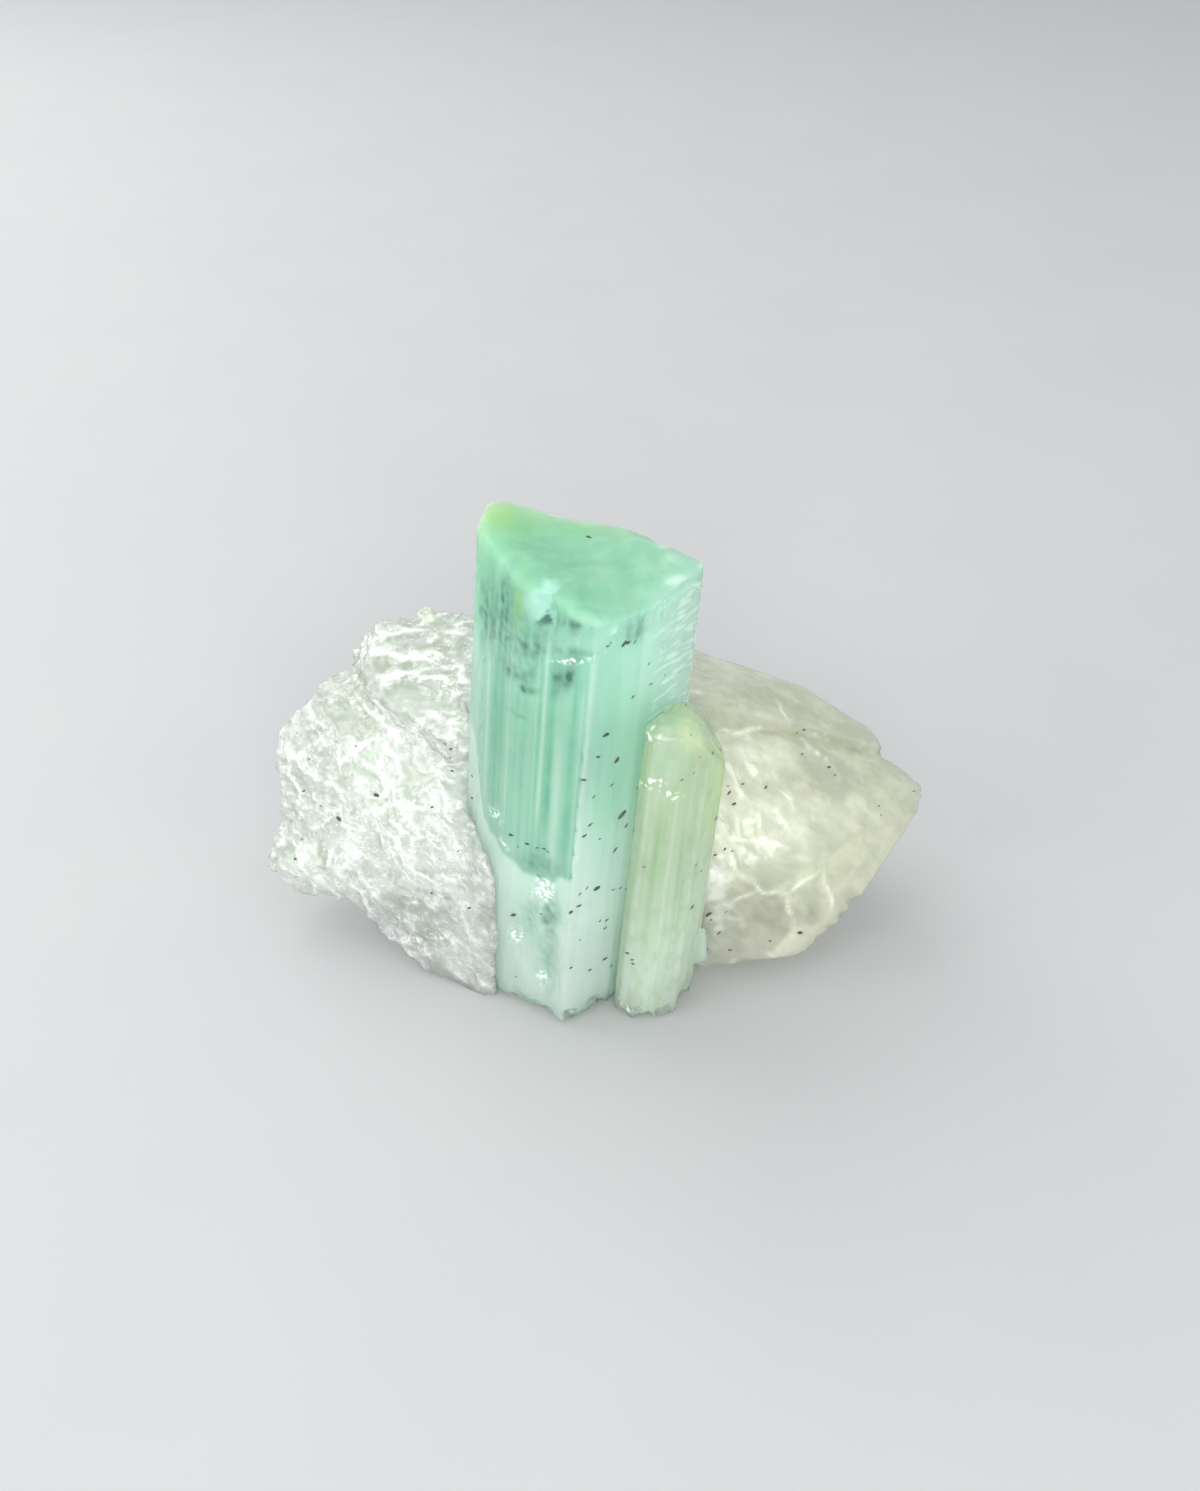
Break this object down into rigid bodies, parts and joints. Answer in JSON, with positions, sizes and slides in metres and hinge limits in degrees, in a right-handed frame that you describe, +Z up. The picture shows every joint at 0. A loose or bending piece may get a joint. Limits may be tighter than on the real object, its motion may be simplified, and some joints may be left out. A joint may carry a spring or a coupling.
{
  "type": "tourmaline on quartz specimen",
  "caption": "Mineral specimen of mint-green tourmaline prisms standing on a frosted quartz crystal that lies on its flat broken base, for display on a shelf.",
  "frame": {"origin": "under the middle of the specimen, on the surface that it rests on", "axes": "+X towards the quartz's point, +Y away from the face with the tourmaline prisms, +Z up"},
  "size_m": [0.0482, 0.0226, 0.0354],
  "materials": {
    "quartz": "milky, frosted with growth scales, clear in places",
    "large_tourmaline": "glassy mint green with striated faces",
    "small_tourmaline": "glassy pale green with striated faces and a yellow-green rim"
  },
  "bodies": {
    "root": {"quartz": "quartz", "large_tourmaline": "large_tourmaline", "small_tourmaline": "small_tourmaline"}
  },
  "joints": []
}
